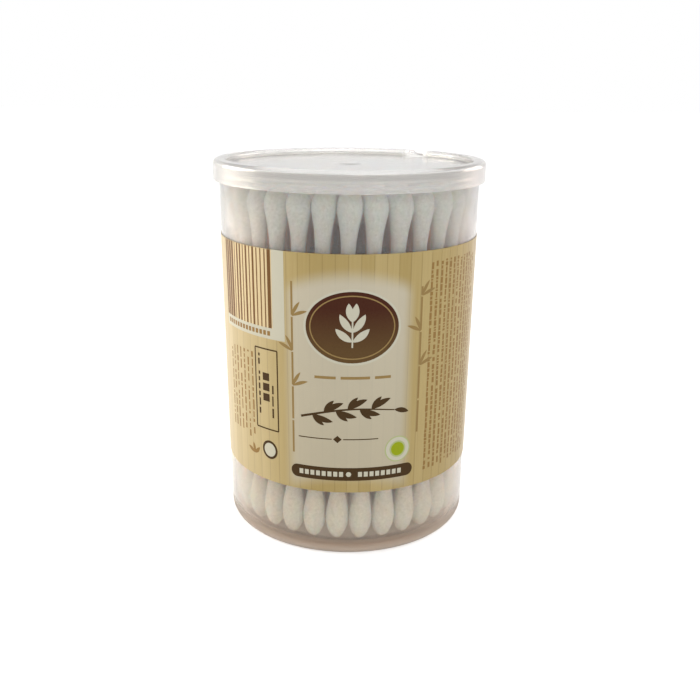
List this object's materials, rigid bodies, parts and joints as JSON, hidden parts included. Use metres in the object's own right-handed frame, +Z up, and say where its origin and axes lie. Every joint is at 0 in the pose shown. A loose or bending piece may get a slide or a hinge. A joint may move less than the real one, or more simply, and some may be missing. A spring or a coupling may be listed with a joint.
{
  "type": "cotton swab tub",
  "caption": "Round see-through plastic tub of cotton swabs with bamboo sticks, standing upright in rings, with a wrapped label and a push-on lid that lifts off.",
  "frame": {"origin": "centre of the tub's foot, on the surface it stands on", "axes": "+Z up along the tub's axis, -Y out of the front of the label, +X to the right of the front view"},
  "size_m": [0.061, 0.061, 0.0828],
  "materials": {
    "tub_polypropylene": "clear to milky injection-moulded polypropylene",
    "lid_polypropylene": "milky injection-moulded polypropylene",
    "label_film": "printed film, semi-gloss",
    "bamboo": "bare turned bamboo",
    "cotton": "wound cotton fibre"
  },
  "bodies": {
    "tub": {"tub": "tub_polypropylene", "label": "label_film", "row_1_sticks": "bamboo", "row_2_sticks": "bamboo", "row_3_sticks": "bamboo", "row_4_sticks": "bamboo", "row_5_sticks": "bamboo", "centre_stick": "bamboo", "row_1_lower_tips": "cotton", "row_2_lower_tips": "cotton", "row_3_lower_tips": "cotton", "row_4_lower_tips": "cotton", "row_5_lower_tips": "cotton", "centre_lower_tip": "cotton", "row_1_upper_tips": "cotton", "row_2_upper_tips": "cotton", "row_3_upper_tips": "cotton", "row_4_upper_tips": "cotton", "row_5_upper_tips": "cotton", "centre_upper_tip": "cotton"},
    "lid": {"lid": "lid_polypropylene"}
  },
  "joints": [
    {"name": "lid_lift", "type": "slide", "parent": "tub", "child": "lid", "axis": [0, 0, 1], "range_m": [0, 0.03]}
  ]
}
